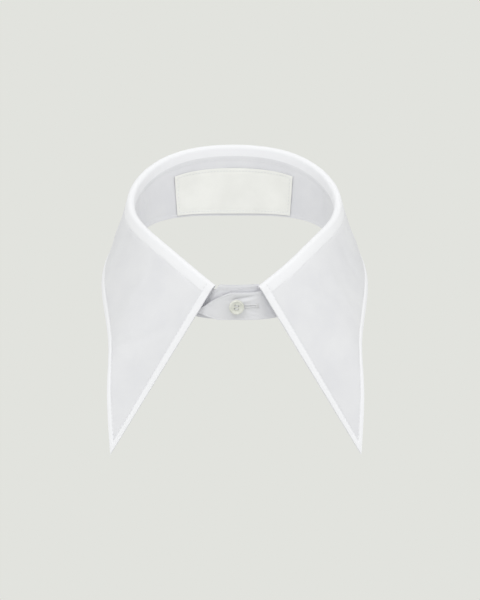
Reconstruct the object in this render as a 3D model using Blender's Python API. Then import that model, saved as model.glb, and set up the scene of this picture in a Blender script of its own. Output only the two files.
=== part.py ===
"""Detachable shirt collar with dagger points, buttoned and in its worn shape, with no wearer.

Units are metres, +Z is up, the front faces -Y and the wearer's left is +X. The origin lies on the
neck's axis, level with the stand's lower edge at the centre back. Sizes below are in millimetres.

An angle runs round the neck: 0 is the centre back, 90 the wearer's left side, 180 the centre front,
and negative angles are the wearer's right. The collar is cut from five cloths: an upper and an under
collar, which make the fall, an outer and an inner stand, and a label.
"""

import math

import bmesh
import bpy
import numpy as np

MM = 0.001

# Cloth
PLY = 1.0  # one cloth with its interlining
SEAM_GAP = 0.3  # between cloths that are sewn together
STAND_THICKNESS = 2 * PLY + SEAM_GAP
FOLD_RADIUS = 2.6  # outside of the roll at the top of the collar

# Rings seen from above: half width at the sides, reach behind and in front of the neck's axis, and
# how much the front narrows to an egg's point.
FOLD_RING = {"half_width": 64.0, "back": 61.0, "front": 76.0, "egg": 0.12}
NECK_RING = {"half_width": 63.0, "back": 60.0, "front": 71.0, "egg": 0.05}

# Half of the collar by sections round the neck. fold: height of the roll's centre. seam: how far the
# stand's top seam lies below it. edge_*: the fall's free edge, out from the centre, back and up.
CORNER_ANGLE = 163.5  # where the fall's front edges leave the stand
FALL_COLUMNS = ("angle", "fold", "seam", "edge_out", "edge_back", "edge_up")
FALL_SECTIONS = (
    (0.0, 44.0, 4.4, 0.0, 72.0, 0.0),
    (30.0, 39.5, 4.4, 37.0, 62.0, 1.0),
    (60.0, 25.5, 4.2, 67.0, 37.0, -7.5),
    (90.0, 11.5, 4.0, 84.0, -6.0, -28.5),
    (115.0, 3.0, 3.4, 79.0, -52.0, -56.0),
    (140.0, -8.5, 2.4, 79.0, -76.0, -85.0),
    (CORNER_ANGLE, -22.5, 1.2, 77.0, -88.0, -123.0),
)

# Height of the stand's lower edge, which follows the neckline.
STAND_COLUMNS = ("angle", "low")
STAND_SECTIONS = (
    (0.0, 0.0),
    (30.0, 0.5),
    (60.0, -3.5),
    (90.0, -15.0),
    (120.0, -29.5),
    (150.0, -40.0),
    (180.0, -41.0),
)

# The stand's two ends pass the centre front. The end with the buttonhole lies over the other.
END_REACH = 23.0  # degrees past the centre front
OVER_TOP, UNDER_TOP = -24.2, -20.0  # height of each end's top edge at the centre front
TOP_ANGLE = 174.0  # where that height is reached
OVER_LIFT = STAND_THICKNESS + 0.6  # how far the upper end stands off
LIFT_ANGLES = (112.0, 150.0)  # where the lift starts and where it is whole
# Outlines of the ends: how much of the reach is left at each share of the stand's height. The upper
# end is a low blunt point and the lower end is nearly square.
END_COLUMNS = ("share", "over", "under")
END_OUTLINES = (
    (0.0, 0.45, 0.82),
    (0.12, 0.86, 0.94),
    (0.24, 1.0, 1.0),
    (0.42, 0.9, 1.0),
    (0.6, 0.75, 1.0),
    (0.76, 0.58, 0.97),
    (0.88, 0.4, 0.9),
    (1.0, 0.16, 0.76),
)
END_STEPS = 6

FRONT_SWAY = 1.4  # how far the worn collar's front sits towards the wearer's left

RING_STEPS = 48
ROLL_STEPS = 6
FALL_STEPS = 5

# Label, on the stand's inner cloth
LABEL_HALF_ANGLE = 32.5
LABEL_SHARE = (0.04, 0.80)  # of the stand's height
LABEL_STEPS = (14, 4)

# Button, on the upper end of the stand
BUTTON_ANGLE = 179.5
BUTTON_SHARE = 0.52  # of the stand's height
BUTTON_RADIUS = 4.7
BUTTON_THICKNESS = 2.2
BUTTON_DISH = 0.7  # depth of the round hollow in its face
BUTTON_HOLE_RADIUS = 0.55
BUTTON_HOLE_OFFSET = 0.95
BUTTON_TILT = math.radians(9.0)
BUTTON_STAND_OFF = 1.1  # from the cloth to the middle of its back
BUTTON_SIDES = 32


# ---------------------------------------------------------------- curves


def natural_spline(knots, values, at):
    """A cubic through the values, with no bend at its two ends."""
    step = np.diff(knots)
    slope = np.diff(values) / step
    size = len(knots)
    matrix = np.eye(size)
    right = np.zeros(size)
    for i in range(1, size - 1):
        matrix[i, i - 1:i + 2] = step[i - 1], 2 * (step[i - 1] + step[i]), step[i]
        right[i] = 6 * (slope[i] - slope[i - 1])
    bend = np.linalg.solve(matrix, right)
    k = int(np.clip(np.searchsorted(knots, at) - 1, 0, size - 2))
    ahead, behind = knots[k + 1] - at, at - knots[k]
    cubic = (bend[k] * ahead**3 + bend[k + 1] * behind**3) / (6 * step[k])
    start = values[k] / step[k] - bend[k] * step[k] / 6
    end = values[k + 1] / step[k] - bend[k + 1] * step[k] / 6
    return cubic + start * ahead + end * behind


def section_value(sections, columns, name, angle, odd=False):
    """A column of a half table at any angle, with the other half its mirror image."""
    table = np.array(sections)
    knots, values = table[:, 0], table[:, columns.index(name)]
    sign = -1.0 if odd else 1.0
    both_knots = np.concatenate([-knots[:0:-1], knots])
    both_values = np.concatenate([sign * values[:0:-1], values])
    return natural_spline(both_knots, both_values, angle)


def smooth_step(start, end, value):
    share = min(max((value - start) / (end - start), 0.0), 1.0)
    return share * share * (3 - 2 * share)


def past_front(angle):
    """Angles beyond the centre front have the sizes of the place that they overlap."""
    return 360.0 - abs(angle) if abs(angle) > 180.0 else abs(angle)


# ---------------------------------------------------------------- rings


def over_lift(angle):
    """The buttonhole's side of the stand moves out, to lie over the button's side."""
    return OVER_LIFT * smooth_step(*LIFT_ANGLES, angle)


def sway(angle):
    return FRONT_SWAY * (1 - math.cos(math.radians(angle))) / 2


def ring_point(ring, angle):
    """(x, y) on a ring and the outward direction there."""
    turn = math.radians(angle)
    half_depth = (ring["back"] + ring["front"]) / 2
    x = ring["half_width"] * (math.sin(turn) + ring["egg"] * math.sin(2 * turn))
    y = half_depth * math.cos(turn) + (ring["back"] - ring["front"]) / 2
    along_x = ring["half_width"] * (math.cos(turn) + 2 * ring["egg"] * math.cos(2 * turn))
    along_y = -half_depth * math.sin(turn)
    outward = np.array([-along_y, along_x]) / math.hypot(along_x, along_y)
    return np.array([x + sway(angle), y]) + outward * over_lift(angle), outward


def fold_centre(angle):
    """Centre of the roll, and its outward direction."""
    (x, y), outward = ring_point(FOLD_RING, angle)
    height = section_value(FALL_SECTIONS, FALL_COLUMNS, "fold", angle)
    return np.array([x, y, height]), np.array([outward[0], outward[1], 0.0])


def fold_frame(angle):
    """Centre of the roll with two directions across it: outward, and up square to the roll."""
    centre, outward = fold_centre(angle)
    along = fold_centre(angle + 0.5)[0] - fold_centre(angle - 0.5)[0]
    along /= np.linalg.norm(along)
    upward = np.array([0.0, 0.0, 1.0]) - along[2] * along
    return centre, outward, upward / np.linalg.norm(upward)


def free_edge(angle):
    """The fall's edge: the centre back's lower edge, the sides, and down to the point."""
    out = section_value(FALL_SECTIONS, FALL_COLUMNS, "edge_out", angle, odd=True)
    back = section_value(FALL_SECTIONS, FALL_COLUMNS, "edge_back", angle)
    height = section_value(FALL_SECTIONS, FALL_COLUMNS, "edge_up", angle)
    return np.array([out + sway(angle), back, height])


def seam_point(angle):
    """Where the fall's cloth leaves the stand, on the face next to the neck."""
    centre, outward, upward = fold_frame(angle)
    drop = section_value(FALL_SECTIONS, FALL_COLUMNS, "seam", angle)
    return centre - FOLD_RADIUS * outward - drop * upward


# ---------------------------------------------------------------- surfaces


def fall_flare(angle):
    """How far the fall leans out from straight down, as an angle across the roll."""
    centre, outward, upward = fold_frame(angle)
    down = free_edge(angle) - centre - FOLD_RADIUS * outward
    return math.atan2(float(down @ outward), -float(down @ upward))


def roll_point(angle, turn):
    """On the outside of the roll: turn is 180 degrees next to the neck and 0 straight out."""
    centre, outward, upward = fold_frame(angle)
    return centre + FOLD_RADIUS * (math.cos(turn) * outward + math.sin(turn) * upward)


def fall_point(angle, share):
    """On the outside of the fall, from the end of the roll (0) to the free edge (1)."""
    start = roll_point(angle, fall_flare(angle))
    return start + share * (free_edge(angle) - start)


def fall_path(angle):
    """Points and outward normals of the fall's face, from its seam over the roll to its edge."""
    centre, outward, upward = fold_frame(angle)
    points = [seam_point(angle)]
    normals = [-outward]
    for turn in np.linspace(math.pi, fall_flare(angle), ROLL_STEPS + 1):
        points.append(roll_point(angle, turn))
        normals.append(math.cos(turn) * outward + math.sin(turn) * upward)
    near = min(max(angle, 0.5 - CORNER_ANGLE), CORNER_ANGLE - 0.5)
    for share in np.linspace(0, 1, FALL_STEPS + 1)[1:]:
        along = fall_point(near + 0.5, share) - fall_point(near - 0.5, share)
        normal = np.cross(along, fall_point(angle, 1) - fall_point(angle, 0))
        points.append(fall_point(angle, share))
        normals.append(normal / np.linalg.norm(normal))
    return points, normals


def stand_top(angle):
    """Top edge of the stand: under the fall's seam, and past the corners on its own."""
    centre, outward, upward = fold_frame(min(max(angle, -CORNER_ANGLE), CORNER_ANGLE))
    if abs(angle) <= CORNER_ANGLE:
        return seam_point(angle) - SEAM_GAP * upward
    (x, y), outward = ring_point(FOLD_RING, angle)
    corner = stand_top(math.copysign(CORNER_ANGLE, angle))[2]
    end = OVER_TOP if angle > 0 else UNDER_TOP
    height = corner + (end - corner) * smooth_step(CORNER_ANGLE, TOP_ANGLE, abs(angle))
    return np.array([x - FOLD_RADIUS * outward[0], y - FOLD_RADIUS * outward[1], height])


def stand_low(angle):
    (x, y), outward = ring_point(NECK_RING, angle)
    height = section_value(STAND_SECTIONS, STAND_COLUMNS, "low", past_front(angle))
    return np.array([x, y, height])


def stand_point(angle, share):
    """On the stand's face next to the neck: share is 0 at its lower edge and 1 at its seam."""
    return stand_low(angle) * (1 - share) + stand_top(angle) * share


def stand_normal(angle, share):
    """Away from the neck."""
    along = stand_point(angle + 0.5, share) - stand_point(angle - 0.5, share)
    upward = stand_top(angle) - stand_low(angle)
    normal = np.cross(upward, along)
    return normal / np.linalg.norm(normal)


def end_reach(share, which):
    """How far an end of the stand goes past the centre front at this share of its height."""
    table = np.array(END_OUTLINES)
    return END_REACH * float(np.interp(share, table[:, 0], table[:, END_COLUMNS.index(which)]))


def ring_angles():
    return np.linspace(-CORNER_ANGLE, CORNER_ANGLE, RING_STEPS + 1)


def stand_angles(share):
    """Angles of a row of the stand, from end to end."""
    over = np.linspace(CORNER_ANGLE, 180.0 + end_reach(share, "over"), END_STEPS + 1)[1:]
    under = np.linspace(CORNER_ANGLE, 180.0 + end_reach(share, "under"), END_STEPS + 1)[1:]
    return np.concatenate([-under[::-1], ring_angles(), over])


# ---------------------------------------------------------------- solids


def cloth_mesh(name, faces_out, faces_in):
    """A closed wall between two grids of points, [row][column], each seen from its own side."""
    outer, inner = np.array(faces_out), np.array(faces_in)
    rows, columns = outer.shape[:2]
    mesh = bmesh.new()
    layers = []
    for grid in (outer, inner):
        layers.append([[mesh.verts.new(point * MM) for point in row] for row in grid])
    top, bottom = layers
    for i in range(rows - 1):
        for j in range(columns - 1):
            mesh.faces.new((top[i][j], top[i][j + 1], top[i + 1][j + 1], top[i + 1][j]))
            mesh.faces.new((bottom[i][j], bottom[i + 1][j], bottom[i + 1][j + 1], bottom[i][j + 1]))
    rim = [(0, j) for j in range(columns)] + [(i, columns - 1) for i in range(1, rows)]
    rim += [(rows - 1, j) for j in range(columns - 2, -1, -1)] + [(i, 0) for i in range(rows - 2, 0, -1)]
    for (i, j), (k, m) in zip(rim, rim[1:] + rim[:1]):
        mesh.faces.new((top[i][j], bottom[i][j], bottom[k][m], top[k][m]))
    bmesh.ops.recalc_face_normals(mesh, faces=mesh.faces)
    return finish_mesh(name, mesh)


def finish_mesh(name, mesh):
    data = bpy.data.meshes.new(name)
    mesh.to_mesh(data)
    mesh.free()
    data.shade_smooth()
    data.set_sharp_from_angle(angle=math.radians(40))
    item = bpy.data.objects.new(name, data)
    bpy.context.scene.collection.objects.link(item)
    return item


def fall_cloth(name, depth):
    """A cloth of the fall whose face lies this deep under the collar's outer face."""
    outer, inner = [], []
    for angle in ring_angles():
        points, normals = fall_path(angle)
        outer.append([point - depth * normal for point, normal in zip(points, normals)])
        inner.append([point - (depth + PLY) * normal for point, normal in zip(points, normals)])
    return cloth_mesh(name, outer, inner)


def stand_cloth(name, depth):
    """A cloth of the stand whose inner face lies this far out from the neck's face."""
    outer, inner = [], []
    for share, _, _ in END_OUTLINES:
        angles = stand_angles(share)
        points = [stand_point(angle, share) for angle in angles]
        normals = [stand_normal(angle, share) for angle in angles]
        inner.append([point + depth * normal for point, normal in zip(points, normals)])
        outer.append([point + (depth + PLY) * normal for point, normal in zip(points, normals)])
    return cloth_mesh(name, outer, inner)


def label_cloth(name):
    across, upward = LABEL_STEPS
    outer, inner = [], []
    for share in np.linspace(*LABEL_SHARE, upward + 1):
        angles = np.linspace(-LABEL_HALF_ANGLE, LABEL_HALF_ANGLE, across + 1)
        points = [stand_point(angle, share) for angle in angles]
        normals = [stand_normal(angle, share) for angle in angles]
        outer.append([point - SEAM_GAP * normal for point, normal in zip(points, normals)])
        inner.append([point - (SEAM_GAP + PLY) * normal for point, normal in zip(points, normals)])
    return cloth_mesh(name, outer, inner)


def lathe(profile, sides):
    """A closed turned shape from (radius, height) points that start and end on the axis."""
    mesh = bmesh.new()
    rings = []
    for radius, height in profile:
        if radius == 0:
            rings.append([mesh.verts.new((0, 0, height * MM))] * sides)
            continue
        turns = [2 * math.pi * i / sides for i in range(sides)]
        rings.append([
            mesh.verts.new((radius * math.cos(t) * MM, radius * math.sin(t) * MM, height * MM))
            for t in turns
        ])
    for low, high in zip(rings, rings[1:]):
        for i in range(sides):
            j = (i + 1) % sides
            corners = list(dict.fromkeys((low[i], low[j], high[j], high[i])))
            mesh.faces.new(corners)
    bmesh.ops.recalc_face_normals(mesh, faces=mesh.faces)
    return mesh


def button_profile():
    """Radius and height of a shirt button: flat back, round rim and a dished face."""
    rim = 0.8  # half height of the rounded rim
    middle = BUTTON_THICKNESS / 2
    points = [(0, 0), (BUTTON_RADIUS - rim, 0)]
    for turn in (-45, 0, 45, 90):
        bend = math.radians(turn)
        points.append((BUTTON_RADIUS - rim + rim * math.cos(bend), middle * (1 + math.sin(bend))))
    floor = BUTTON_THICKNESS - BUTTON_DISH
    points += [(BUTTON_RADIUS * 0.6, floor + 0.2), (BUTTON_RADIUS * 0.5, floor), (0, floor)]
    return points


def cut_button_holes(button):
    for index in range(4):
        turn = math.pi / 4 + index * math.pi / 2
        reach = BUTTON_HOLE_OFFSET * math.sqrt(2)
        mesh = lathe(((0, -1), (BUTTON_HOLE_RADIUS, -1), (BUTTON_HOLE_RADIUS, 4), (0, 4)), 12)
        hole = finish_mesh(f"button_hole_{index}", mesh)
        hole.location = (reach * math.cos(turn) * MM, reach * math.sin(turn) * MM, 0)
        hole.parent = button
        hole.hide_render = True
        hole.display_type = "WIRE"
        cut = button.modifiers.new(f"hole_{index}", "BOOLEAN")
        cut.operation = "DIFFERENCE"
        cut.object = hole


def button_place():
    """Where the button's back is, and the turn that points its axis away from the cloth."""
    share = BUTTON_SHARE
    normal = stand_normal(BUTTON_ANGLE, share)
    surface = stand_point(BUTTON_ANGLE, share) + STAND_THICKNESS * normal
    lean = math.atan2(float(normal[2]), -float(normal[1]))
    return (surface + BUTTON_STAND_OFF * normal) * MM, lean


def make_button(name):
    button = finish_mesh(name, lathe(button_profile(), BUTTON_SIDES))
    place, lean = button_place()
    button.rotation_mode = "XYZ"
    button.location = place
    button.rotation_euler = (math.pi / 2 - lean - BUTTON_TILT / 2, BUTTON_TILT, 0)
    cut_button_holes(button)
    return button


# ---------------------------------------------------------------- materials


def material(name, colour, roughness):
    made = bpy.data.materials.new(name)
    made.use_nodes = True
    shader = made.node_tree.nodes["Principled BSDF"]
    shader.inputs["Base Color"].default_value = (*colour, 1)
    shader.inputs["Roughness"].default_value = roughness
    shader.inputs["Metallic"].default_value = 0.0
    return made


def main():
    for item in list(bpy.data.objects):
        bpy.data.objects.remove(item, do_unlink=True)

    white_cotton = material("white_cotton", (0.80, 0.80, 0.84), 0.85)
    label_cotton = material("label_cotton", (0.82, 0.82, 0.80), 0.9)
    pearl_resin = material("pearl_resin", (0.72, 0.73, 0.68), 0.3)

    under = PLY + SEAM_GAP
    pieces = (
        (fall_cloth("upper_collar", 0.0), white_cotton),
        (fall_cloth("under_collar", under), white_cotton),
        (stand_cloth("stand_inner", 0.0), white_cotton),
        (stand_cloth("stand_outer", under), white_cotton),
        (label_cloth("label"), label_cotton),
        (make_button("button"), pearl_resin),
    )
    for piece, finish in pieces:
        piece.data.materials.append(finish)


main()
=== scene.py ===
"""Looks of the detachable shirt collar with dagger points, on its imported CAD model.

Each cloth of the collar is a thin shell close to the form of its CAD solid, with sewn edges,
topstitching and uneven creases from wear. Sizes are in millimetres. An angle runs round the neck, 0 at
the centre back, 90 at the wearer's left and 180 at the centre front. The end of the stand with the
buttonhole ("over") lies over the other end ("under").
"""

import math

import bpy
import numpy as np
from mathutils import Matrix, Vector


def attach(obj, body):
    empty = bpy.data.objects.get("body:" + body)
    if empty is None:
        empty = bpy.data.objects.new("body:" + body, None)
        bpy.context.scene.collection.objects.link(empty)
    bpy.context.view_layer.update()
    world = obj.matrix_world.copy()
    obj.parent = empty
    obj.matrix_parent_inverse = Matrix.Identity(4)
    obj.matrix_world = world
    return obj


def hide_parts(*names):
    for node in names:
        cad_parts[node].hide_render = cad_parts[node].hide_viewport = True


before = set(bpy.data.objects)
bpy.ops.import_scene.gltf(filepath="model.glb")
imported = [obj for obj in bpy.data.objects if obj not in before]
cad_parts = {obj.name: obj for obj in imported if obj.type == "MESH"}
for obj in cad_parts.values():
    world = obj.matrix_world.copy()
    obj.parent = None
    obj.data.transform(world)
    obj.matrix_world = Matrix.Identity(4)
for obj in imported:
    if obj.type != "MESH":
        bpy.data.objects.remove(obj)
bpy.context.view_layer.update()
MM = 0.001

# ---------------------------------------------------------------- the collar's form
# These are the CAD model's sizes, except for TOP_ANGLE, TIP_CURL and the second row of END_OUTLINES,
# which shape the worn front of the stand.

PLY = 1.0
SEAM_GAP = 0.3
STAND_THICKNESS = 2 * PLY + SEAM_GAP
FOLD_RADIUS = 2.6
FOLD_RING = {"half_width": 64.0, "back": 61.0, "front": 76.0, "egg": 0.12}
NECK_RING = {"half_width": 63.0, "back": 60.0, "front": 71.0, "egg": 0.05}
CORNER_ANGLE = 163.5
FALL_COLUMNS = ("angle", "fold", "seam", "edge_out", "edge_back", "edge_up")
FALL_SECTIONS = (
    (0.0, 44.0, 4.4, 0.0, 72.0, 0.0),
    (30.0, 39.5, 4.4, 37.0, 62.0, 1.0),
    (60.0, 25.5, 4.2, 67.0, 37.0, -7.5),
    (90.0, 11.5, 4.0, 84.0, -6.0, -28.5),
    (115.0, 3.0, 3.4, 79.0, -52.0, -56.0),
    (140.0, -8.5, 2.4, 79.0, -76.0, -85.0),
    (CORNER_ANGLE, -22.5, 1.2, 77.0, -88.0, -123.0),
)
STAND_COLUMNS = ("angle", "low")
STAND_SECTIONS = (
    (0.0, 0.0),
    (30.0, 0.5),
    (60.0, -3.5),
    (90.0, -15.0),
    (120.0, -29.5),
    (150.0, -40.0),
    (180.0, -41.0),
)
END_REACH = 23.0
OVER_TOP, UNDER_TOP = -24.2, -20.0
TOP_ANGLE = 168.0  # sooner than on the solids, so that less of a notch shows beside the fall
OVER_LIFT = STAND_THICKNESS + 0.6
TIP_CURL = 1.3  # how far the tip of the upper end has curled out with wear
CURL_ANGLES = (189.0, 204.0)
LIFT_ANGLES = (112.0, 150.0)
END_COLUMNS = ("share", "over", "under")
END_OUTLINES = (
    (0.0, 0.45, 0.82),
    (0.12, 0.74, 0.94),
    (0.24, 1.0, 1.0),
    (0.42, 0.9, 1.0),
    (0.6, 0.75, 1.0),
    (0.76, 0.58, 0.97),
    (0.88, 0.4, 0.9),
    (1.0, 0.16, 0.76),
)
FRONT_SWAY = 1.4
LABEL_HALF_ANGLE = 32.5
LABEL_SHARE = (0.04, 0.80)
BUTTON_SHARE = 0.52

# ---------------------------------------------------------------- sewing and wear

CLOTH = 0.8  # thickness of a cloth of the collar
LABEL_CLOTH = 0.5
EDGE_STITCH = 4.6  # from the free edges to their topstitching
FOLD_STITCH = 5.2  # from the roll down to its topstitching
STAND_STITCH = 2.6
LABEL_STITCH = 1.8
STITCH_PITCH, STITCH_LENGTH = 2.5, 1.9
THREAD_RADIUS = 0.16
SWELL, PULL, PULL_WIDTH = 0.32, 0.34, 0.75  # of a turned edge and the cloth along its stitching
FOLD_PULL, FOLD_PULL_WIDTH = 0.3, 0.8  # of the cloth along the stitching under the roll
CREASE_BOW = 0.004  # how much a crease curves, per mm

# Creases of wear on the fall: angle, share of the way down, length and width in mm, lean in
# degrees from straight down, height in mm. Those behind are guessed and similar to those in front.
FALL_CREASES = (
    (118.0, 0.55, 46.0, 9.0, 12.0, 0.7),
    (136.0, 0.30, 38.0, 7.0, -18.0, -0.5),
    (101.0, 0.50, 30.0, 8.0, 8.0, -0.6),
    (82.0, 0.62, 26.0, 7.0, -10.0, 0.5),
    (-122.0, 0.50, 44.0, 9.0, -14.0, 0.7),
    (-139.0, 0.62, 36.0, 6.0, 22.0, -0.5),
    (-97.0, 0.42, 30.0, 8.0, -6.0, -0.6),
    (-78.0, 0.60, 24.0, 7.0, 14.0, 0.5),
    (40.0, 0.55, 24.0, 8.0, 20.0, 0.45),
    (-33.0, 0.50, 22.0, 9.0, -16.0, 0.4),
    (6.0, 0.62, 20.0, 10.0, 30.0, -0.35),
)
# Creases on the stand, the same way. The last ones run out from the button's pull.
STAND_CREASES = (
    (58.0, 0.55, 22.0, 3.2, 4.0, 0.45),
    (66.0, 0.45, 20.0, 2.6, -6.0, -0.4),
    (75.0, 0.50, 20.0, 3.4, 2.0, 0.5),
    (86.0, 0.60, 17.0, 3.0, -8.0, -0.4),
    (101.0, 0.50, 15.0, 4.0, 6.0, 0.35),
    (-56.0, 0.50, 22.0, 3.0, -5.0, -0.4),
    (-64.0, 0.45, 21.0, 3.4, 4.0, 0.5),
    (-73.0, 0.55, 19.0, 2.6, -3.0, -0.45),
    (-84.0, 0.50, 17.0, 3.2, 7.0, 0.4),
    (-99.0, 0.55, 14.0, 4.0, -4.0, -0.35),
    (174.0, 0.84, 15.0, 1.9, 68.0, -1.1),
    (173.0, 0.70, 13.0, 1.9, 68.0, 0.6),
    (168.0, 0.30, 12.0, 2.0, 104.0, -0.4),
    (190.0, 0.55, 9.0, 2.0, 84.0, -0.35),
    (-176.0, 0.86, 12.0, 2.2, 80.0, 0.35),
)

# ---------------------------------------------------------------- curves


def spline(knots, values, at):
    """A natural cubic spline, for an array of places."""
    step = np.diff(knots)
    slope = np.diff(values) / step
    size = len(knots)
    matrix = np.eye(size)
    right = np.zeros(size)
    for i in range(1, size - 1):
        matrix[i, i - 1:i + 2] = step[i - 1], 2 * (step[i - 1] + step[i]), step[i]
        right[i] = 6 * (slope[i] - slope[i - 1])
    bend = np.linalg.solve(matrix, right)
    k = np.clip(np.searchsorted(knots, at) - 1, 0, size - 2)
    ahead, behind = knots[k + 1] - at, at - knots[k]
    cubic = (bend[k] * ahead**3 + bend[k + 1] * behind**3) / (6 * step[k])
    start = values[k] / step[k] - bend[k] * step[k] / 6
    end = values[k + 1] / step[k] - bend[k + 1] * step[k] / 6
    return cubic + start * ahead + end * behind


def section_value(sections, columns, name, angle, odd=False):
    table = np.array(sections)
    knots, values = table[:, 0], table[:, columns.index(name)]
    sign = -1.0 if odd else 1.0
    both_knots = np.concatenate([-knots[:0:-1], knots])
    both_values = np.concatenate([sign * values[:0:-1], values])
    return spline(both_knots, both_values, angle)


def smooth_step(start, end, value):
    share = np.clip((value - start) / (end - start), 0.0, 1.0)
    return share * share * (3 - 2 * share)


def unit(vectors):
    return vectors / np.maximum(np.linalg.norm(vectors, axis=-1, keepdims=True), 1e-12)


def sway(angle):
    return FRONT_SWAY * (1 - np.cos(np.radians(angle))) / 2


def flat_vector(x, y, z):
    return np.stack(np.broadcast_arrays(x, y, z), axis=-1)


def ring_point(ring, angle, height):
    """Points on a ring at these heights, and the outward direction there."""
    turn = np.radians(angle)
    half_depth = (ring["back"] + ring["front"]) / 2
    x = ring["half_width"] * (np.sin(turn) + ring["egg"] * np.sin(2 * turn)) + sway(angle)
    y = half_depth * np.cos(turn) + (ring["back"] - ring["front"]) / 2
    along_x = ring["half_width"] * (np.cos(turn) + 2 * ring["egg"] * np.cos(2 * turn))
    along_y = -half_depth * np.sin(turn)
    outward = unit(flat_vector(-along_y, along_x, 0.0))
    lift = OVER_LIFT * smooth_step(*LIFT_ANGLES, angle)
    lift = lift + TIP_CURL * smooth_step(*CURL_ANGLES, angle)
    return flat_vector(x, y, height) + outward * lift[..., None], outward


def fold_centre(angle):
    height = section_value(FALL_SECTIONS, FALL_COLUMNS, "fold", angle)
    return ring_point(FOLD_RING, angle, height)


def fold_frame(angle):
    centre, outward = fold_centre(angle)
    along = unit(fold_centre(angle + 0.5)[0] - fold_centre(angle - 0.5)[0])
    upward = np.array([0.0, 0.0, 1.0]) - along[..., 2:] * along
    return centre, outward, unit(upward)


def free_edge(angle):
    out = section_value(FALL_SECTIONS, FALL_COLUMNS, "edge_out", angle, odd=True)
    back = section_value(FALL_SECTIONS, FALL_COLUMNS, "edge_back", angle)
    height = section_value(FALL_SECTIONS, FALL_COLUMNS, "edge_up", angle)
    return flat_vector(out + sway(angle), back, height)


def seam_point(angle):
    centre, outward, upward = fold_frame(angle)
    drop = section_value(FALL_SECTIONS, FALL_COLUMNS, "seam", angle)
    return centre - FOLD_RADIUS * outward - drop[..., None] * upward


def stand_top(angle):
    sewn = seam_point(np.clip(angle, -CORNER_ANGLE, CORNER_ANGLE))
    end = np.where(angle > 0, OVER_TOP, UNDER_TOP)
    share = smooth_step(CORNER_ANGLE, TOP_ANGLE, np.abs(angle))
    height = sewn[..., 2] + (end - sewn[..., 2]) * share
    free, outward = ring_point(FOLD_RING, angle, height)
    free = free - FOLD_RADIUS * outward
    return np.where(np.abs(angle)[..., None] <= CORNER_ANGLE, sewn, free)


def stand_low(angle):
    folded = np.where(np.abs(angle) > 180.0, 360.0 - np.abs(angle), np.abs(angle))
    height = section_value(STAND_SECTIONS, STAND_COLUMNS, "low", folded)
    return ring_point(NECK_RING, angle, height)[0]


def stand_point(angle, share):
    share = share[..., None]
    return stand_low(angle) * (1 - share) + stand_top(angle) * share


def stand_normal(angle, share):
    """Away from the neck."""
    along = stand_point(angle + 0.5, share) - stand_point(angle - 0.5, share)
    return unit(np.cross(stand_top(angle) - stand_low(angle), along))


# ---------------------------------------------------------------- grids of points, [column][row]

FALL_COLUMN_COUNT = 289
ROLL_ROWS, FALL_ROWS = 12, 58
CROWD = 0.72  # how much the fall's columns and rows crowd towards its edges
STAND_RING_COLUMNS, STAND_END_COLUMNS, STAND_ROWS = 230, 34, 24
LABEL_GRID = (121, 31)
LABEL_LINE_POINTS = 60


def crowded_ends(start, end, count, crowd):
    """Places from start to end, closer together near both."""
    t = np.linspace(0, 1, count)
    return start + (end - start) * ((1 - crowd) * t + crowd * t * t * (3 - 2 * t))


def travel(points, axis):
    """Distance run along a grid's columns or rows."""
    steps = np.linalg.norm(np.diff(points, axis=axis), axis=-1)
    first = np.zeros_like(np.take(steps, [0], axis=axis))
    return np.concatenate([first, np.cumsum(steps, axis=axis)], axis=axis)


def grid_normals(points, towards):
    """Unit normals, on the side that the sample direction at the grid's first point is on."""
    normal = unit(np.cross(np.gradient(points, axis=0), np.gradient(points, axis=1)))
    return normal if float(normal[1, 1] @ towards) > 0 else -normal


def crease_height(creases, angle, share, run, down):
    """Height of all creases. run and down are distances along the cloth in mm."""
    height = np.zeros_like(down)
    for at, place, length, width, lean, size in creases:
        column = int(np.argmin(np.abs(angle[:, 0] - at)))
        row = int(np.argmin(np.abs(share[column] - place)))
        east = run - run[column, row]
        south = down - down[column, row]
        turn = math.radians(lean)
        along = east * math.sin(turn) + south * math.cos(turn)
        across = east * math.cos(turn) - south * math.sin(turn)
        bow = across + CREASE_BOW * along**2 * (1 if at > 0 else -1)
        height += size * np.exp(-(along / length * 2) ** 2 - (bow / width * 2) ** 2)
    return height


def sewn_ridge(distance, stitch):
    """A turned edge: proud over its seam allowance and pulled in along the stitching."""
    swell = SWELL * np.exp(-((distance - 0.45 * stitch) / (0.4 * stitch)) ** 2)
    pull = PULL * np.exp(-((distance - stitch) / PULL_WIDTH) ** 2)
    return swell - pull


def fall_surface(angle):
    """Points of the fall's outer face, from its seam over the roll to its free edge, and the share of
    the way down of each."""
    centre, outward, upward = fold_frame(angle)
    edge = free_edge(angle)
    out = edge - centre - FOLD_RADIUS * outward
    flare = np.arctan2((out * outward).sum(-1), -(out * upward).sum(-1))
    turn = math.pi + (flare - math.pi) * np.linspace(0, 1, ROLL_ROWS)
    roll = centre + FOLD_RADIUS * (
        np.cos(turn)[..., None] * outward + np.sin(turn)[..., None] * upward)
    share = crowded_ends(0, 1, FALL_ROWS, CROWD)[1:]
    start = roll[:, -1:]
    fall = start + share[:, None] * (edge - start)
    points = np.concatenate([seam_point(angle), roll, fall], axis=1)
    return points, np.concatenate([np.zeros(ROLL_ROWS + 1), share]) + 0 * angle


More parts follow.
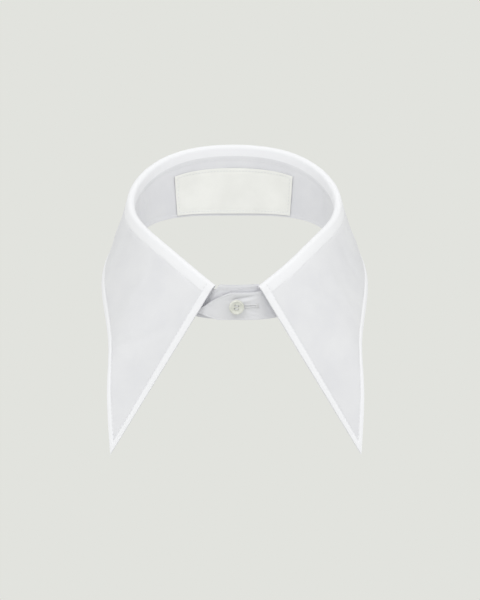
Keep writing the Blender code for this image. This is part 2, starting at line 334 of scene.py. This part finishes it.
def fall_grid():
    """The worn fall's outer face: points, normals, and the distances that its stitches need."""
    angle = crowded_ends(-CORNER_ANGLE, CORNER_ANGLE, FALL_COLUMN_COUNT, CROWD)[:, None]
    points, shares = fall_surface(angle)
    normals = grid_normals(points, -fold_frame(angle)[1][1, 0])
    down, run = travel(points, 1), travel(points, 0)
    run = run - run[FALL_COLUMN_COUNT // 2]
    below_roll = down - down[:, ROLL_ROWS:ROLL_ROWS + 1]
    to_edge = down[:, -1:] - down
    to_front = np.minimum(run - run[0], run[-1] - run)
    height = crease_height(FALL_CREASES, angle + 0 * down, shares, run, down)
    height *= smooth_step(0, 14, below_roll) * (1 - 0.6 * smooth_step(12, 0, to_edge))
    to_border = np.minimum(to_edge, to_front)
    border = sewn_ridge(to_border, EDGE_STITCH) * smooth_step(-2, 3, below_roll)
    to_roll = np.abs(below_roll + FOLD_STITCH) - FOLD_STITCH
    # Mask of the cloth's whitening along the edges and the roll: partly the extra layers, partly painted
    # highlight.
    allowance = smooth_step(0.5, -0.5, np.minimum(to_border - EDGE_STITCH, to_roll - FOLD_STITCH))
    at_fold = -FOLD_PULL * np.exp(-((below_roll - FOLD_STITCH) / FOLD_PULL_WIDTH) ** 2)
    points = points + (height + border + at_fold)[..., None] * normals
    return {
        "points": points, "normals": normals, "run": run, "down": down,
        "below_roll": below_roll, "to_edge": to_edge, "to_front": to_front,
        "allowance": allowance,
    }


def end_reach(share, which):
    table = np.array(END_OUTLINES)
    return END_REACH * spline(table[:, 0], table[:, END_COLUMNS.index(which)], share)


def stand_grid():
    """The stand's face next to the neck, with normals away from the neck."""
    share = crowded_ends(0, 1, STAND_ROWS, 0.5)[None, :]
    ring = np.linspace(-CORNER_ANGLE, CORNER_ANGLE, STAND_RING_COLUMNS)[:, None] + 0 * share
    part = np.linspace(0, 1, STAND_END_COLUMNS)[1:, None]
    over = CORNER_ANGLE + part * (180.0 + end_reach(share, "over") - CORNER_ANGLE)
    under = CORNER_ANGLE + part * (180.0 + end_reach(share, "under") - CORNER_ANGLE)
    angle = np.concatenate([-under[::-1], ring, over])
    share = share + 0 * angle
    points = stand_point(angle, share)
    normals = stand_normal(angle, share)
    down, run = travel(points, 1), travel(points, 0)
    run = run - run[len(run) // 2]
    to_edge = np.minimum(down, down[:, -1:] - down)
    to_end = np.minimum(run - run[0], run[-1] - run)
    height = crease_height(STAND_CREASES, angle, share, run, down[:, -1:] - down)
    height *= smooth_step(0, 5, to_edge) * smooth_step(36, 50, np.abs(angle))
    border = 0.5 * sewn_ridge(np.minimum(to_edge, to_end), STAND_STITCH)
    return {
        "points": points, "normals": normals, "run": run, "down": down, "height": height,
        "border": border, "to_edge": to_edge, "to_end": to_end,
    }


# ---------------------------------------------------------------- meshes


def link(name, vertices, faces, materials, smooth=True):
    data = bpy.data.meshes.new(name)
    data.from_pydata([tuple(v) for v in vertices], [], faces)
    data.validate()
    if smooth:
        data.shade_smooth()
    for item in materials:
        data.materials.append(item)
    made = bpy.data.objects.new(name, data)
    bpy.context.scene.collection.objects.link(made)
    return made


def grid_faces(columns, rows, first, flip):
    corner = first + np.arange(columns - 1)[:, None] * rows + np.arange(rows - 1)
    corner = corner.ravel()
    quads = np.stack([corner, corner + rows, corner + rows + 1, corner + 1], axis=1)
    return quads[:, ::-1] if flip else quads


def shell(name, face, back, run, down, materials):
    """A closed thin cloth between two grids, with its distances in metres as its UV map."""
    columns, rows = face.shape[:2]
    size = columns * rows
    vertices = np.concatenate([face.reshape(-1, 3), back.reshape(-1, 3)]) * MM
    index = np.arange(size).reshape(columns, rows)
    rim = np.concatenate([index[:, 0], index[-1, 1:], index[-2::-1, -1], index[0, -2:0:-1]])
    after = np.roll(rim, -1)
    sides = np.stack([after, rim, rim + size, after + size], axis=1)
    faces = np.concatenate([
        grid_faces(columns, rows, 0, False), grid_faces(columns, rows, size, True), sides])
    made = link(name, vertices, faces.tolist(), materials)
    spread = np.stack([run, down], axis=-1).reshape(-1, 2) * MM
    spread = np.concatenate([spread, spread])
    layer = made.data.uv_layers.new(name="cloth")
    loops = np.empty(len(made.data.loops), np.int32)
    made.data.loops.foreach_get("vertex_index", loops)
    layer.data.foreach_set("uv", spread[loops].astype(np.float32).ravel())
    face_out(made)
    made.data.set_sharp_from_angle(angle=math.radians(50))
    return made


def mark_allowance(made, allowance):
    """Stores how much of the seam allowance lies under each point, for the cloth's whiter colour there,
    which is partly painted highlight.
    """
    layer = made.data.attributes.new("allowance", "FLOAT", "POINT")
    value = allowance.ravel().astype(np.float32)
    layer.data.foreach_set("value", np.concatenate([value, value]))


def face_out(made):
    """Turns all faces outward if the closed mesh is inside out."""
    points = np.array([v.co for v in made.data.vertices])
    made.data.calc_loop_triangles()
    corners = np.array([t.vertices for t in made.data.loop_triangles])
    a, b, c = (points[corners[:, i]] for i in range(3))
    if float((a * np.cross(b, c)).sum()) < 0:
        made.data.flip_normals()


def sample_line(points, normals, column, row):
    """Points and normals at fractional places of a grid."""
    i = np.clip(column.astype(int), 0, points.shape[0] - 2)
    j = np.clip(row.astype(int), 0, points.shape[1] - 2)
    s, t = (column - i)[:, None], (row - j)[:, None]
    found = []
    for grid in (points, normals):
        low = grid[i, j] * (1 - s) + grid[i + 1, j] * s
        high = grid[i, j + 1] * (1 - s) + grid[i + 1, j + 1] * s
        found.append(low * (1 - t) + high * t)
    return found[0], unit(found[1])


def thread_runs(line, normals, pitch=STITCH_PITCH, length=STITCH_LENGTH):
    """Cuts a line into stitches: the two ends and the normal of each."""
    far = travel(line, 0)
    count = int((far[-1] - length) / pitch)
    starts = (np.arange(count) + 0.5) * (far[-1] / count) - length / 2

    def at(distance, values):
        return np.stack([np.interp(distance, far, values[:, k]) for k in range(3)], axis=1)
    return at(starts, line), at(starts + length, line), unit(at(starts + length / 2, normals))


# Rings of a thread: share of its length, share of its radius, and rise above the cloth in radii.
THREAD_RINGS = (
    (0.0, 0.25, -0.5),
    (0.12, 0.85, 0.25),
    (0.5, 1.0, 0.6),
    (0.88, 0.85, 0.25),
    (1.0, 0.25, -0.5),
)
THREAD_SIDES = 6


def thread_mesh(start, end, normal, radius, first):
    """Points and faces of one short rounded thread, with its points numbered from first."""
    vertices, faces = [], []
    side = unit(np.cross(end - start, normal))
    for share, size, rise in THREAD_RINGS:
        middle = start + share * (end - start) + rise * radius * normal
        for k in range(THREAD_SIDES):
            turn = 2 * math.pi * k / THREAD_SIDES
            out = math.cos(turn) * side + math.sin(turn) * normal
            vertices.append((middle + size * radius * out) * MM)
    last = first + (len(THREAD_RINGS) - 1) * THREAD_SIDES
    for low in range(first, last, THREAD_SIDES):
        high = low + THREAD_SIDES
        for k in range(THREAD_SIDES):
            m = (k + 1) % THREAD_SIDES
            faces.append((low + k, high + k, high + m, low + m))
    faces.append(tuple(range(first, first + THREAD_SIDES)))
    faces.append(tuple(range(last + THREAD_SIDES - 1, last - 1, -1)))
    return vertices, faces


def stitches(name, runs, material, radius=THREAD_RADIUS):
    """All threads of these runs as one piece. They dip into the cloth at both ends."""
    vertices, faces = [], []
    for starts, ends, normals in runs:
        for start, end, normal in zip(starts, ends, normals):
            points, quads = thread_mesh(start, end, normal, radius, len(vertices))
            vertices += points
            faces += quads
    made = link(name, vertices, faces, [material])
    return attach(made, "root")


# ---------------------------------------------------------------- materials


def node(tree, kind, **inputs):
    made = tree.nodes.new(kind)
    for name, value in inputs.items():
        made.inputs[name.replace("_", " ")].default_value = value
    return made


def maths(tree, operation, first, second=None):
    made = tree.nodes.new("ShaderNodeMath")
    made.operation = operation
    for socket, value in zip(made.inputs, (first, second)):
        if isinstance(value, (int, float)):
            socket.default_value = value
        elif value is not None:
            tree.links.new(value, socket)
    return made.outputs[0]


def principled(name, roughness, sheen=0.0, coat=0.0):
    made = bpy.data.materials.new(name)
    made.use_nodes = True
    shader = made.node_tree.nodes["Principled BSDF"]
    shader.inputs["Roughness"].default_value = roughness
    shader.inputs["Sheen Weight"].default_value = sheen
    shader.inputs["Sheen Roughness"].default_value = 0.6
    shader.inputs["Coat Weight"].default_value = coat
    shader.inputs["Coat Roughness"].default_value = 0.12
    shader.inputs["Specular IOR Level"].default_value = 0.25 if sheen else 0.5
    return made, shader


def whiter_highlit_edges(tree, shader, colour):
    """Turned edges hold more layers, so less light goes through and they look whiter; the whitening is
    also a painted highlight of the raised edges and the roll.
    """
    base = shader.inputs["Base Color"]
    mix = tree.nodes.new("ShaderNodeMix")
    mix.data_type = "RGBA"
    allowance = tree.nodes.new("ShaderNodeAttribute")
    allowance.attribute_name = "allowance"
    tree.links.new(allowance.outputs["Fac"], mix.inputs["Factor"])
    tree.links.new(base.links[0].from_socket, mix.inputs["A"])
    mix.inputs["B"].default_value = (*colour, 1)
    tree.links.new(mix.outputs["Result"], base)


def mottled(tree, shader, low, high, scale):
    """A slow, faint change of colour over the object."""
    place = tree.nodes.new("ShaderNodeTexCoord")
    noise = node(tree, "ShaderNodeTexNoise", Scale=scale, Detail=3.0, Roughness=0.55)
    ramp = tree.nodes.new("ShaderNodeValToRGB")
    ramp.color_ramp.elements[0].position = 0.35
    ramp.color_ramp.elements[0].color = (*low, 1)
    ramp.color_ramp.elements[1].position = 0.65
    ramp.color_ramp.elements[1].color = (*high, 1)
    tree.links.new(place.outputs["Object"], noise.inputs["Vector"])
    tree.links.new(noise.outputs["Fac"], ramp.inputs["Fac"])
    tree.links.new(ramp.outputs["Color"], shader.inputs["Base Color"])
    return place


def woven(name, low, high, warp, weft, depth):
    """Plain-weave cotton. warp and weft are the yarns' widths in metres."""
    made, shader = principled(name, 0.86, sheen=0.12)
    tree = made.node_tree
    place = mottled(tree, shader, low, high, 45.0)
    # The cloth whitens along the turned edges and the roll: partly the extra layers, partly painted
    # highlight.
    whiter_highlit_edges(tree, shader, [min(1.12 * value, 0.95) for value in high])
    split = tree.nodes.new("ShaderNodeSeparateXYZ")
    tree.links.new(place.outputs["UV"], split.inputs["Vector"])
    across = maths(tree, "SINE", maths(tree, "MULTIPLY", split.outputs["X"], math.pi / warp))
    down = maths(tree, "SINE", maths(tree, "MULTIPLY", split.outputs["Y"], math.pi / weft))
    yarns = maths(tree, "MULTIPLY", across, down)
    slub = node(tree, "ShaderNodeTexNoise", Scale=900.0, Detail=2.0)
    tree.links.new(place.outputs["Object"], slub.inputs["Vector"])
    height = maths(tree, "ADD", yarns, slub.outputs["Fac"])
    bump = node(tree, "ShaderNodeBump", Strength=0.35, Distance=depth)
    tree.links.new(height, bump.inputs["Height"])
    tree.links.new(bump.outputs["Normal"], shader.inputs["Normal"])
    return made


def pearly(name):
    """Pearly button resin: faint clouds of warm and cool under a satin coat."""
    made, shader = principled(name, 0.3, coat=0.35)
    mottled(made.node_tree, shader, (0.66, 0.67, 0.62), (0.80, 0.80, 0.76), 260.0)
    return made


def thread_finish(name, colour):
    made, shader = principled(name, 0.6, sheen=0.2)
    tree = made.node_tree
    place = mottled(tree, shader, [0.94 * c for c in colour], colour, 700.0)
    twist = node(tree, "ShaderNodeTexWave", Scale=1500.0)
    tree.links.new(place.outputs["Object"], twist.inputs["Vector"])
    bump = node(tree, "ShaderNodeBump", Strength=0.2, Distance=0.00005)
    tree.links.new(twist.outputs["Fac"], bump.inputs["Height"])
    tree.links.new(bump.outputs["Normal"], shader.inputs["Normal"])
    return made


# ---------------------------------------------------------------- pieces


def declare(made, nodes):
    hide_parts(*nodes)
    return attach(made, "root")


def build_fall(cotton, thread):
    grid = fall_grid()
    points, normals = grid["points"], grid["normals"]
    under = PLY + SEAM_GAP
    upper = shell("upper_cloth", points, points - CLOTH * normals, grid["run"], grid["down"], [cotton])
    lower = shell("under_cloth", points - under * normals, points - (under + CLOTH) * normals,
                  grid["run"], grid["down"], [cotton])
    mark_allowance(upper, grid["allowance"])
    mark_allowance(lower, grid["allowance"])
    declare(upper, ["upper_collar"])
    declare(lower, ["under_collar"])
    runs = [thread_runs(*line) for line in fall_lines(grid)]
    stitches("fall_topstitch", runs, thread)


def fall_lines(grid):
    """The topstitching lines: along both front edges, the outer edge and the roll."""
    points, normals = grid["points"], grid["normals"]
    rows = np.arange(points.shape[1], dtype=float)
    columns = np.arange(points.shape[0], dtype=float)
    lines = []
    for distance in (grid["run"] - grid["run"][0], grid["run"][-1] - grid["run"]):
        rising = distance if distance[0, 0] < distance[1, 0] else distance[::-1]
        place = np.array([np.interp(EDGE_STITCH, rising[:, j], columns) for j in range(len(rows))])
        if rising is not distance:
            place = columns[-1] - place
        left = np.array([np.interp(p, columns, grid["to_edge"][:, j]) for j, p in enumerate(place)])
        keep = (rows > ROLL_ROWS - 3) & (left > EDGE_STITCH)
        lines.append(sample_line(points, normals, place[keep], rows[keep]))
    lines.append(row_line(grid, grid["to_edge"][:, ::-1], EDGE_STITCH, True))
    lines.append(row_line(grid, grid["below_roll"], FOLD_STITCH, False))
    return lines


def row_line(grid, distance, value, from_end):
    """A line at one distance from the free edge or the roll, between the front edges' lines."""
    rows = np.arange(distance.shape[1], dtype=float)
    columns = np.arange(distance.shape[0], dtype=float)
    place = np.array([np.interp(value, distance[i], rows) for i in range(len(columns))])
    if from_end:
        place = rows[-1] - place
    room = np.array([np.interp(p, rows, grid["to_front"][i]) for i, p in enumerate(place)])
    keep = room > EDGE_STITCH
    return sample_line(grid["points"], grid["normals"], columns[keep], place[keep])


def stand_line(grid, face, normals, low):
    """The topstitching line along the stand's lower or top edge, on one of its faces."""
    distance = grid["down"] if low else (grid["down"][:, -1:] - grid["down"])[:, ::-1]
    rows = np.arange(distance.shape[1], dtype=float)
    columns = np.arange(distance.shape[0], dtype=float)
    place = np.array([np.interp(STAND_STITCH, d, rows) for d in distance])
    place = place if low else rows[-1] - place
    room = np.array([np.interp(p, rows, grid["to_end"][i]) for i, p in enumerate(place)])
    keep = room > STAND_STITCH
    return sample_line(face, normals, columns[keep], place[keep])


def build_stand(cotton, thread):
    grid = stand_grid()
    normals = grid["normals"]
    wear = grid["height"][..., None] * normals
    ridge = grid["border"][..., None] * normals
    inner = grid["points"] + wear
    outer = grid["points"] + STAND_THICKNESS * normals + wear
    runs = []
    for name, face, back, side in (
        ("stand_inner", inner - ridge, inner + CLOTH * normals, -1),
        ("stand_outer", outer + ridge, outer - CLOTH * normals, 1),
    ):
        made = shell(name + "_cloth", face, back, grid["run"], grid["down"], [cotton])
        declare(made, [name])
        for low in (True, False):
            runs.append(thread_runs(*stand_line(grid, face, side * normals, low)))
    stitches("stand_topstitch", runs, thread)


def label_rise(angle, share):
    """Ripples of the label, most along its free top edge."""
    wave = np.sin(np.radians(angle * 11.0) + 0.6) + 0.7 * np.sin(np.radians(angle * 23.0) + 2.0)
    return 0.28 * (1.2 + wave) * (0.25 + 0.75 * smooth_step(0.55, 1.0, share))


def label_lines(face, normals, run, down):
    """The stitching lines just inside the label's four edges."""
    columns, rows = (np.arange(float(count)) for count in LABEL_GRID)
    low = np.interp(LABEL_STITCH, down[LABEL_GRID[0] // 2], rows)
    first = np.interp(LABEL_STITCH, run[:, LABEL_GRID[1] // 2], columns)
    high, last = rows[-1] - low, columns[-1] - first
    corners = ((first, low), (last, low), (last, high), (first, high), (first, low))
    part = np.linspace(0, 1, LABEL_LINE_POINTS)
    return [
        sample_line(face, normals, c0 + part * (c1 - c0), r0 + part * (r1 - r0))
        for (c0, r0), (c1, r1) in zip(corners, corners[1:])
    ]


def build_label(tape, thread):
    angle = np.linspace(-LABEL_HALF_ANGLE, LABEL_HALF_ANGLE, LABEL_GRID[0])[:, None]
    share = np.linspace(*LABEL_SHARE, LABEL_GRID[1])[None, :]
    angle, share = angle + 0 * share, share + 0 * angle
    base, normals = stand_point(angle, share), stand_normal(angle, share)
    spread = (share - LABEL_SHARE[0]) / (LABEL_SHARE[1] - LABEL_SHARE[0])
    run, down = travel(base, 0), travel(base, 1)
    to_edge = np.minimum(np.minimum(run, run[-1] - run), np.minimum(down, down[:, -1:] - down))
    lift = SEAM_GAP + label_rise(angle, spread) * smooth_step(0, 6, to_edge + 3)
    lift = lift + 0.6 * sewn_ridge(to_edge, LABEL_STITCH)
    lift = np.maximum(lift, SEAM_GAP - 0.1)
    face = base - (lift + LABEL_CLOTH)[..., None] * normals
    made = shell("label_cloth", face, base - lift[..., None] * normals, run, down, [tape])
    declare(made, ["label"])
    lines = label_lines(face, -normals, run, down)
    runs = [thread_runs(*line, pitch=2.0, length=1.5) for line in lines]
    stitches("label_stitching", runs, thread)


def on_stand(angle, share, lift):
    angle, share = np.atleast_1d(float(angle)), np.atleast_1d(float(share))
    normal = stand_normal(angle, share)
    return (stand_point(angle, share) + (STAND_THICKNESS + lift) * normal)[0], normal[0]


BUTTONHOLE = (181.0, 167.0)  # angles of its two ends
BUTTONHOLE_STITCHES = 40  # on each side
BUTTONHOLE_EDGE = (0.22, 1.25)  # where its stitches start and end, from the slit
BAR_TACK_ANGLES = (-0.9, 0.6)  # from the buttonhole's end
BAR_TACK_HALF, BAR_TACK_THREADS = 1.7, 5


def build_buttonhole(thread, dark):
    """Close satin stitches on both sides of a slit, with a bar tack at its outer end, and a dark line in
    the slit that is painted shadow in the cut.
    """
    starts, ends, normals = [], [], []
    for angle in np.linspace(*BUTTONHOLE, BUTTONHOLE_STITCHES):
        middle, normal = on_stand(angle, BUTTON_SHARE, 0.05)
        beside = on_stand(angle, BUTTON_SHARE + 0.05, 0.05)[0] - middle
        upward = unit(beside)
        for side in (-1, 1):
            starts.append(middle + side * BUTTONHOLE_EDGE[0] * upward)
            ends.append(middle + side * BUTTONHOLE_EDGE[1] * upward)
            normals.append(normal)
    for angle in BUTTONHOLE[1] + np.linspace(*BAR_TACK_ANGLES, BAR_TACK_THREADS):
        middle, normal = on_stand(angle, BUTTON_SHARE, 0.15)
        upward = unit(on_stand(angle, BUTTON_SHARE + 0.05, 0.15)[0] - middle)
        starts.append(middle - BAR_TACK_HALF * upward)
        ends.append(middle + BAR_TACK_HALF * upward)
        normals.append(normal)
    stitches("buttonhole_stitching", [(starts, ends, normals)], thread, radius=0.2)
    # The dark line along the slit is painted shadow in the cut.
    first, normal = on_stand(BUTTONHOLE[0], BUTTON_SHARE, 0.0)
    last = on_stand(BUTTONHOLE[1], BUTTON_SHARE, 0.0)[0]
    middle = on_stand(sum(BUTTONHOLE) / 2, BUTTON_SHARE, 0.0)[0]
    halves = ([first, middle], [middle, last], [normal, normal])
    stitches("buttonhole_slit_shadow", [halves], dark, radius=THREAD_RADIUS)


def build_button(resin, thread):
    """The CAD button stays; two threads cross it through its four holes."""
    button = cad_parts["button"]
    button.data.materials.clear()
    button.data.materials.append(resin)
    points = np.array([v.co for v in button.data.vertices]) / MM
    centre = (points.min(0) + points.max(0)) / 2
    axes = np.linalg.svd(points - points.mean(0), full_matrices=False)[2]
    out = axes[2] if axes[2][1] < 0 else -axes[2]
    level = unit(np.cross(np.array([0.0, 0.0, 1.0]), out))
    raised = unit(np.cross(out, level))
    reach, face = 0.95, 0.55
    starts, ends = [], []
    for side in (-1, 1):
        for shift in (-0.16, 0.16):
            place = centre + (face + 0.1) * out + (side * reach + shift) * raised
            starts.append(place - 1.15 * level)
            ends.append(place + 1.15 * level)
    stitches("button_thread", [(starts, ends, [out] * 4)], thread, radius=0.2)
    shank = [centre - 1.0 * out + x * level + z * raised for x in (-0.5, 0.5) for z in (-0.5, 0.5)]
    deep = [point - 1.6 * out for point in shank]
    stitches("button_shank", [(shank, deep, [level] * 4)], thread, radius=0.5)


# ---------------------------------------------------------------- studio

BACKGROUND = (0.760, 0.768, 0.731)


def make_stage():
    scene = bpy.context.scene
    scene.view_settings.view_transform = "Standard"
    world = bpy.data.worlds.new("studio")
    world.use_nodes = True
    world.node_tree.nodes["Background"].inputs["Color"].default_value = (*BACKGROUND, 1)
    world.node_tree.nodes["Background"].inputs["Strength"].default_value = 1.0
    scene.world = world
    half, height = 40.0, -0.5
    corners = [(-half, -half, height), (half, -half, height), (half, half, height), (-half, half, height)]
    finish = bpy.data.materials.new("backdrop")
    finish.use_nodes = True
    shader = finish.node_tree.nodes["Principled BSDF"]
    shader.inputs["Base Color"].default_value = (0.0, 0.0, 0.0, 1)
    shader.inputs["Specular IOR Level"].default_value = 0.0
    shader.inputs["Emission Color"].default_value = (*BACKGROUND, 1)
    shader.inputs["Emission Strength"].default_value = 1.0
    link("floor", corners, [(0, 1, 2, 3)], [finish], smooth=False)


def area_light(name, place, size, power, colour=(1.0, 1.0, 1.0)):
    data = bpy.data.lights.new(name, "AREA")
    data.shape = "DISK"
    data.size = size
    data.energy = power
    data.color = colour
    light = bpy.data.objects.new(name, data)
    light.location = place
    aim = Vector((0.0, 0.0, -0.04)) - Vector(place)
    light.rotation_euler = aim.to_track_quat("-Z", "Y").to_euler()
    bpy.context.scene.collection.objects.link(light)


def make_camera():
    distance, elevation = 2.0, math.radians(10.0)
    data = bpy.data.cameras.new("camera")
    data.sensor_fit = "HORIZONTAL"
    data.sensor_width = 36.0
    data.lens = 237.0
    camera = bpy.data.objects.new("camera", data)
    place = Vector((0.0, -distance * math.cos(elevation), distance * math.sin(elevation)))
    camera.location = place
    aim = Vector((0.0041, -0.0075, -0.0426)) - place
    camera.rotation_euler = aim.to_track_quat("-Z", "Y").to_euler()
    bpy.context.scene.collection.objects.link(camera)
    bpy.context.scene.camera = camera


def main():
    make_camera()
    make_stage()
    area_light("key", (-0.8, -1.7, 2.0), 1.4, 17.0)
    area_light("fill", (1.3, -1.2, 1.6), 1.6, 9.0)
    cotton = woven("poplin", (0.765, 0.765, 0.81), (0.80, 0.80, 0.84), 0.00034, 0.00026, 0.00006)
    tape = woven("label_weave", (0.88, 0.88, 0.865), (0.93, 0.93, 0.915), 0.00045, 0.00045, 0.00008)
    thread = thread_finish("sewing_thread", (0.82, 0.82, 0.85))
    # Grey finish for the painted shadow in the buttonhole's slit.
    dark = thread_finish("slit_shadow", (0.50, 0.50, 0.53))
    build_fall(cotton, thread)
    build_stand(cotton, thread)
    build_label(tape, thread)
    build_buttonhole(thread, dark)
    build_button(pearly("pearl_resin"), thread)


main()
